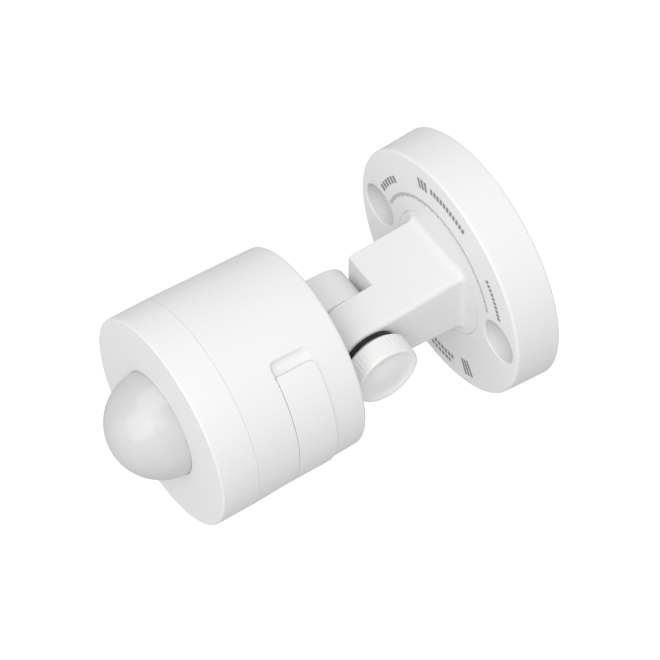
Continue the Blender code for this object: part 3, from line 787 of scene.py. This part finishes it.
def make_clamp(looks):
    at = (HINGE_Y, 0)
    flat = hoop("knob_flat_washer_fine", FLAT_WASHER_R, FLAT_WASHER_X, "X", at, FINE, 0.2)
    piece(flat, "knob_washers", "washer_steel", looks["washer"], "knob_flat_washer")
    piece(split_washer(), "knob_washers", "washer_steel", looks["bright"], "knob_spring_washer")
    piece(thumb_knob(), "knob", "knob_plastic", looks["knob"], "thumb_knob")
    insert = hoop("knob_insert_fine", INSERT_R, INSERT_X, "X", at, MEDIUM, 0.2)
    piece(insert, "knob", "brass", looks["brass"], "knob_insert")


def split_washer():
    """A spring lock washer: a square-section ring, cut across and sprung a little along its axis."""
    bm = bmesh.new()
    section = [(3.2, 11.35), (6.85, 11.35), (7.1, 11.5), (7.1, 11.8), (6.85, 12.02), (3.2, 12.02)]
    loops = []
    for i in range(SPRING_WASHER_TURN + 1):
        angle = math.radians(5 + i)
        lift = SPRING_WASHER_LIFT * (i / SPRING_WASHER_TURN - 0.5)
        points = [(x + lift, HINGE_Y + r * math.cos(angle), r * math.sin(angle)) for r, x in section]
        loops.append([bm.verts.new(point) for point in points])
    bridge(bm, loops)
    bm.faces.new(loops[0])
    bm.faces.new(loops[-1])
    return object_from("knob_spring_washer_fine", bm)


def thumb_knob():
    """A knurled knob. Its ribs are shallow and rounded, and its face is a low dome inside a rounded rim."""
    inner_x, outer_x = KNOB_X
    length = outer_x - inner_x
    per_rib = 8
    count = KNOB_RIBS * per_rib
    rows = []  # (position on the axis, radius, depth of the grooves)
    for t, groove in ((0.0, 0.03), (0.05, 0.08), (0.2, 0.1), (0.5, 0.1), (0.72, 0.08), (0.82, 0.05)):
        rows.append((inner_x + length * t, KNOB_R[0] + (KNOB_R[1] - KNOB_R[0]) * t, groove))
    edge = KNOB_RIM_EDGE
    for a in quarter(6):
        groove = 0.05 * (1 - math.sin(a))
        radius = KNOB_R[1] - edge + edge * math.cos(a)
        rows.append((outer_x - edge + edge * math.sin(a), radius, groove))
    for start, end in (((outer_x, KNOB_R[1] - edge), (KNOB_DISH_X, KNOB_DISH_R)),
                       ((KNOB_DISH_X, KNOB_DISH_R), (KNOB_TIP_X, 0.0))):
        for t in (0.15, 0.3, 0.45, 0.6, 0.75, 0.9):
            eased = 0.5 - 0.5 * math.cos(math.pi * t)
            rows.append((start[0] + (end[0] - start[0]) * eased, start[1] + (end[1] - start[1]) * t, 0.0))
    bm = bmesh.new()
    loops = []
    for x, radius, groove in rows:
        loop = []
        for i in range(count):
            angle = math.tau * i / count
            r = radius - groove * (0.5 - 0.5 * math.cos(KNOB_RIBS * angle)) ** 0.8
            loop.append(bm.verts.new((x, HINGE_Y + r * math.cos(angle), r * math.sin(angle))))
        loops.append(loop)
    bridge(bm, loops)
    tip = bm.verts.new((KNOB_TIP_X, HINGE_Y, 0))
    for i in range(count):
        bm.faces.new((loops[-1][i], loops[-1][(i + 1) % count], tip))
    bm.faces.new(loops[0])
    knob = object_from("thumb_knob_fine", bm)
    pocket = rod("pocket", KNOB_POCKET_R, (inner_x - 1, KNOB_POCKET_END_X), "X", (HINGE_Y, 0))
    return cut(knob, pocket, sharp=50)


def make_bolt(looks):
    """A hexagon-head bolt with a rolled thread under the knob."""
    outline = [(0.0, -7.0), (2.45, -7.0), (2.45, 9.0)]
    x = 9.3
    while x < 15.0:
        outline += [(2.5, x), (2.12, x + 0.4)]
        x += 0.8
    outline += [(2.0, 15.4), (0.0, 15.6)]
    bolt = turned("hinge_bolt_fine", outline, "X", (HINGE_Y, 0), SMALL)
    head = turned("head", [(0, -9.3), (4.0, -9.3), (4.0, -6.4), (0, -6.4)], "X", (HINGE_Y, 0), 6)
    chamfer = [(0, -9.3), (3.3, -9.3), (4.3, -8.75), (4.3, -6.3), (0, -6.3)]
    dome = turned("chamfer", chamfer, "X", (HINGE_Y, 0), MEDIUM)
    combine(head, dome, "INTERSECT")
    settled(head, dome)
    combine(bolt, head, "UNION")
    settled(bolt, head)
    piece(bolt, "head", "zinc_steel", looks["steel"], "hinge_bolt")


# ---------------------------------------------------------------- sensor head

def door_pivot():
    angle = math.radians(DOOR_PIVOT_ANGLE)
    return (DOOR_PIVOT_R * math.cos(angle), DOOR_PIVOT_R * math.sin(angle))


NOTCH_RISE = 4.05
NOTCH_LEVELS = ((-1.2, 1.8), (-1.15, 1.4), (-0.95, 1.05), (-0.5, 0.55), (0.05, 0.12), (0.4, 0.0), (2.0, 0.0))


def finger_notch():
    """A cutter for the scoop above the door, with walls that lean out. The levels are (height above the
    housing's surface, how far the outline is drawn in)."""
    angle = math.radians(DOOR_TOP)
    out = Vector((math.cos(angle), 0.0, math.sin(angle)))
    rise = Vector((-math.sin(angle), 0.0, math.cos(angle)))
    middle_y = (DOOR_Y[0] + DOOR_Y[1]) / 2
    share = (HEAD_R - HEAD_REAR_R) * (HEAD_REAR_Y - middle_y) / (HEAD_REAR_Y - SEAM_Y)
    surface = out * (HEAD_REAR_R + share)
    loops = []
    for height, inset in NOTCH_LEVELS:
        low, high = DOOR_Y[0] - 0.35 + inset * 0.6, DOOR_Y[1] - inset * 0.3
        corners = [(low, -0.2), (high, -0.2), (high, NOTCH_RISE - inset), (low, NOTCH_RISE - inset)]
        outline = rounded(corners, (0, 0, 1.9, 1.4), 6)
        loops.append([surface + out * height + rise * u + Vector((0.0, y, 0.0)) for y, u in outline])
    return lofted("finger_notch", loops)


def make_housing(looks):
    rear, seam = HEAD_REAR_Y, SEAM_Y
    edge = HEAD_REAR_EDGE
    outline = [(0, rear)]
    centre = (HEAD_REAR_R - edge, rear - edge)
    outline += [(centre[0] + edge * math.sin(a), centre[1] + edge * math.cos(a)) for a in quarter(8)]
    outline += [(HEAD_R, seam + SEAM_LIP), (HEAD_R - SEAM_LIP, seam), (HEAD_R - HEAD_WALL, seam)]
    outline += [(HEAD_REAR_R - HEAD_WALL, rear - HEAD_REAR_WALL), (0, rear - HEAD_REAR_WALL)]
    housing = turned("head_housing_fine", outline, count=HEAD_STEPS)
    side = [(rear - 1.0, HINGE_R)] + arc((HINGE_Y, 0), HINGE_R, 90, -90, 48) + [(rear - 1.0, -HINGE_R)]
    tongue = prism("tongue", side, "X", (ARM_X[0], TONGUE_X))
    bevelled(tongue, TONGUE_EDGE)
    settled(tongue)
    helpers = [combine(housing, tongue, "UNION")]
    for z in (-PCB_SCREW_Z, PCB_SCREW_Z):
        pillar = rod("pillar", 2.6, (-75.7, rear - 1.0), at=(0, z), count=SMALL)
        helpers.append(combine(housing, pillar, "UNION"))
        bore = rod("bore", PILOT_R, (-80, -71), at=(0, z), count=SMALL)
        helpers.append(combine(housing, bore, "DIFFERENCE"))
    window_y = (DOOR_Y[0] - 0.12, DOOR_Y[1] + 0.06)
    window = curved_strip("window", WINDOW_R, (DOOR_PIVOT_ANGLE, DOOR_TOP - 5.0), window_y, 64)
    rebate = door_strip("rebate", (DOOR_R[0] - 0.15, WINDOW_R[1]), REBATE_MARGINS, 0.04)
    cutters = [window, rebate, finger_notch()]
    cutters.append(rod("bolt_hole", BOLT_HOLE_R, (-12, 1), "X", (HINGE_Y, 0)))
    pocket = [(0, -12), (HEX_POCKET_R, -12), (HEX_POCKET_R, -6.0), (0, -6.0)]
    cutters.append(turned("hex_pocket", pocket, "X", (HINGE_Y, 0), 6))
    cutters.append(rod("channel", HEAD_CHANNEL_R, (-52, -25), at=LEAD_AT, count=SMALL))
    socket_y = (DOOR_Y[0] - 1.1, DOOR_Y[1] + 1.1)
    cutters.append(rod("socket", DOOR_SOCKET_R, socket_y, at=door_pivot(), count=SMALL))
    helpers += [combine(housing, cutter, "DIFFERENCE") for cutter in cutters]
    settled(housing, *helpers)
    piece(housing, "head", "white_plastic", looks["white"], "head_housing")


def door_strip(name, radii, margins, top_margin):
    """A curved strip with the door's outline, whose rear top corner is round. The margins are millimetres
    past the front and rear edges and degrees past the top."""
    corner = DOOR_CORNER_R
    places = [(DOOR_Y[0] + margins[0], 0.0), (DOOR_Y[0] + 0.3, 0.0)]
    for a in quarter(10):
        places.append((DOOR_Y[1] - corner * (1 - math.sin(a)) + margins[1], corner * (1 - math.cos(a))))
    loops = []
    for y, drop in places:
        top = DOOR_EDGE_TOP - math.degrees(drop / DOOR_R[1]) + top_margin
        outline = arc((0, 0), radii[1], DOOR_PIVOT_ANGLE, top, 72)
        outline += arc((0, 0), radii[0], top, DOOR_PIVOT_ANGLE, 72)
        loops.append([(x, y, z) for x, z in outline])
    return lofted(name, loops)


def make_door(looks):
    door = door_strip("service_door_fine", DOOR_R, (0.0, 0.0), 0.0)
    bevelled(door, DOOR_EDGE)
    settled(door)
    ends = (DOOR_Y[0] - 0.8, DOOR_Y[1] + 0.8)
    trunnions = rod("trunnions", DOOR_TRUNNION_R, ends, at=door_pivot(), count=SMALL, edge=0.15)
    settled(door, combine(door, trunnions, "UNION"))
    piece(door, "door", "white_plastic", looks["white"], "service_door")


def make_bezel(looks):
    edge = 0.45
    inside = FACE_Y + 2.0
    back = SEAM_Y - SEAM_LIP
    outline = [(LENS_HOLE_R, FACE_Y + SEAM_LIP), (LENS_HOLE_R + SEAM_LIP, FACE_Y)]
    centre = (HEAD_R - edge, FACE_Y + edge)
    outline += [(centre[0] + edge * math.sin(a), centre[1] - edge * math.cos(a)) for a in quarter(8)]
    outline += [(HEAD_R, back - SEAM_LIP), (HEAD_R - SEAM_LIP, back), (22.7, back), (22.7, -72.7)]
    outline += [(22.5, -72.5), (20.9, -72.5), (20.9, inside), (LENS_HOLE_R, inside)]
    bezel = turned("front_bezel_fine", outline, count=HEAD_STEPS)
    cut(bezel, *[rod("bore", 1.2, (-83.5, -81), at=at, count=SMALL) for at in lens_screw_places()])
    piece(bezel, "head", "white_plastic", looks["white"], "front_bezel")


def lens_screw_places():
    angles = [math.radians(120 * i) for i in range(3)]
    return [(LENS_SCREW_CIRCLE_R * math.cos(a), LENS_SCREW_CIRCLE_R * math.sin(a)) for a in angles]


LENS_FIELD_ROWS = ((0.0, 1, 0.0), (27.0, 6, 20.0), (53.0, 10, 68.0), (77.0, 14, 84.0))
# Painted light on the lens: each field's tone lightens or darkens the dome's colour in a patch, standing
# partly for reflections of the studio lights and partly for the inner parts seen through the dome.
LENS_FIELD_TONES_AND_PAINTED_REFLECTIONS = (0.32, -0.15, 0.05, -0.1, 0.05, -0.05, 0.1, 0.0, -0.1, 0.0, 0.1, 0.0, -0.15, -0.35)
LENS_FIELD_SAG = 0.06
LENS_BORDER_SHARPNESS = 130.0
LENS_TONE_AND_PAINTED_REFLECTION = "field_tone_and_painted_reflection"
LENS_WALL = 0.9
LENS_STEPS = 192
LENS_FIELD_REACH = 0.03


def on_sphere(tilt, turn):
    return Vector((math.sin(tilt) * math.cos(turn), -math.cos(tilt), math.sin(tilt) * math.sin(turn)))


def lens_fields():
    """Each lens field's direction from the dome's centre and its tone, a painted patch, lighter for some
    fields and darker for others, that stands partly for reflections of the studio lights and partly for the
    inner parts seen through the dome. The rows above give the angle from the tip, how many fields there are,
    and the first one's turn."""
    fields = []
    for tilt, count, first in LENS_FIELD_ROWS:
        for i in range(count):
            turn = math.radians(first + 360.0 * i / count)
            tone = LENS_FIELD_TONES_AND_PAINTED_REFLECTIONS[i] if count > 6 else 0.1
            fields.append((on_sphere(math.radians(tilt), turn), tone))
    return fields


def make_lens(looks):
    """The dome: a smooth outside, and inside it one shallow bulge for each lens field."""
    fields = lens_fields()
    count = LENS_STEPS
    turns = [math.tau * i / count for i in range(count)]
    inner_r = DOME_R - LENS_WALL
    back = FACE_Y + 3.3
    loops = [[on_sphere(a, turn) * DOME_R for turn in turns] for a in quarter(48)]
    flange = [(DOME_R, back - 1.1), (DOME_R + 0.1, back - 1.0), (14.9, back - 1.0), (15.0, back - 0.9)]
    flange += [(15.0, back - 0.1), (14.9, back), (inner_r, back)]
    for radius, y in flange:
        ring = [(radius * math.cos(turn), y - DOME_Y, radius * math.sin(turn)) for turn in turns]
        loops.append([Vector(point) for point in ring])
    for a in reversed(quarter(48)):
        loop = []
        for turn in turns:
            way = on_sphere(a, turn)
            nearest = max(way.dot(centre) for centre, _ in fields)
            bulge = LENS_FIELD_SAG * max(0.0, 1.0 - (1.0 - nearest) / LENS_FIELD_REACH)
            loop.append(way * (inner_r - bulge))
        loops.append(loop)
    bm = bmesh.new()
    rings = []
    for loop in loops:
        closed = (loop[0] - loop[count // 2]).length < 1e-6
        points = loop[:1] if closed else loop
        rings.append([bm.verts.new(point + Vector((0.0, DOME_Y, 0.0))) for point in points])
    for first, second in zip(rings, rings[1:]):
        for i in range(count):
            j = (i + 1) % count
            corners = [first[i % len(first)], first[j % len(first)]]
            corners += [second[j % len(second)], second[i % len(second)]]
            bm.faces.new(list(dict.fromkeys(corners)))
    dome = object_from("lens_dome_fine", bm)
    # Painted reflections: each vertex takes its field's tone, blended softly across the borders, for patches
    # that stand partly for reflections of the studio lights and partly for the inner parts seen through the
    # dome.
    tones_and_painted_reflections = dome.data.attributes.new(LENS_TONE_AND_PAINTED_REFLECTION, "FLOAT", "POINT")
    for vert, tone in zip(dome.data.vertices, tones_and_painted_reflections.data):
        way = (vert.co / MM - Vector((0.0, DOME_Y, 0.0))).normalized()
        nearest = max(way.dot(centre) for centre, _ in fields)
        nearness = [way.dot(centre) - nearest for centre, _ in fields]
        weights = [math.exp(LENS_BORDER_SHARPNESS * value) for value in nearness]
        mixed = sum(weight * strength for weight, (_, strength) in zip(weights, fields))
        tone.value = 0.5 + mixed / sum(weights)
    piece(dome, "head", "lens_plastic", looks["lens"], "lens_dome")


def make_screws(looks):
    """The lens and board screws in the head, and the retainer's screws in the arm."""
    for i, at in enumerate(lens_screw_places()):
        made = pan_screw(f"lens_screw_{i + 1}_fine", at, -78.3, 1.8, 1.0, 0.9, -83.2)
        piece(made, "head", "zinc_steel", looks["steel"], f"lens_screw_{i + 1}")
    for i, side in enumerate((1, -1)):
        made = pan_screw(f"pcb_screw_{i + 1}_fine", (0, side * PCB_SCREW_Z), -79.0, 2.2, 1.1, 1.05, -71.5)
        piece(made, "head", "zinc_steel", looks["steel"], f"pcb_screw_{i + 1}")
        at = (0, side * RETAINER_SCREW_Z)
        made = pan_screw(f"retainer_screw_{i + 1}_fine", at, -2.3, 2.4, 0.7, 1.05, -8.5)
        piece(made, "arm", "zinc_steel", looks["steel"], f"retainer_screw_{i + 1}")


def make_adjusters(looks):
    """The fascia behind the door, with printed dots in an arc round each dial."""
    fascia = block("adjuster_fascia_fine", FASCIA_X, (-66.3, -52.7), (-13.5, 13.5))
    bevelled(fascia, 0.25)
    settled(fascia)
    cut(fascia, *[rod("bore", 2.6, (14, 18), "X", (ADJUSTER_Y, z)) for z in DIAL_ZS.values()])
    piece(fascia, "head", "white_plastic", looks["inner"], "adjuster_fascia")
    bm = bmesh.new()
    for z in DIAL_ZS.values():
        for i in range(DOTS):
            angle = math.radians(-135 + 270 * i / (DOTS - 1))
            size = 0.1 + 0.025 * i
            across, up = DOT_CIRCLE_R * math.sin(angle), DOT_CIRCLE_R * math.cos(angle)
            at = Vector((FASCIA_X[1], ADJUSTER_Y + across, z + up))
            bmesh.ops.create_cone(bm, cap_ends=True, segments=20, radius1=size, radius2=size, depth=0.04,
                                  matrix=Matrix.Translation(at) @ Matrix.Rotation(math.pi / 2, 4, "Y"))
    piece(object_from("adjuster_dots", bm), "head", "dark_plastic", looks["ink"])
    for name, z in DIAL_ZS.items():
        outline = [(0.0, 15.4), (2.3, 15.4), (2.3, 17.1), (0.0, 17.1)]
        dial = turned(f"{name}_dial_fine", rounded(outline, (0, 0, 0.3, 0)), "X", (ADJUSTER_Y, z), MEDIUM)
        slots = []
        for label, across, up in (("slot", 0.3, 1.6), ("slot_across", 1.6, 0.3)):
            ys = (ADJUSTER_Y - across, ADJUSTER_Y + across)
            slots.append(block(label, (16.3, 18), ys, (z - up, z + up)))
        tip = [(ADJUSTER_Y - 0.7, z + 1.3), (ADJUSTER_Y + 0.7, z + 1.3), (ADJUSTER_Y, z + 2.1)]
        slots.append(prism("pointer", tip, "X", (16.7, 18)))
        cut(dial, *slots)
        piece(dial, f"{name}_dial_body", "knob_plastic", looks["dial"], f"{name}_dial")


CAD_LOOKS = {
    "inner": ("swivel_retainer", "lens_retainer"),
    "rubber": ("swivel_friction_washer",),
    "jacket": ("arm_lead", "head_lead"),
    "steel": ("pir_can",),
    "board": ("main_pcb", "adjuster_board"),
    "dark": ("relay", "supply_capacitor", "control_chip", "pir_window", "time_trimmer",
             "light_level_trimmer", "range_trimmer"),
    "green": ("terminal_block",),
    "red": ("status_led",),
    "ceramic": ("light_sensor",),
}


def dress_cad_nodes(looks):
    for look, names in CAD_LOOKS.items():
        for name in names:
            for material_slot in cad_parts[name].material_slots:
                material_slot.material = looks[look]


def main():
    make_camera()
    make_studio()
    looks = make_looks()
    make_base(looks)
    make_arm(looks)
    make_clamp(looks)
    make_bolt(looks)
    make_housing(looks)
    make_door(looks)
    make_bezel(looks)
    make_lens(looks)
    make_screws(looks)
    make_adjusters(looks)
    dress_cad_nodes(looks)


main()
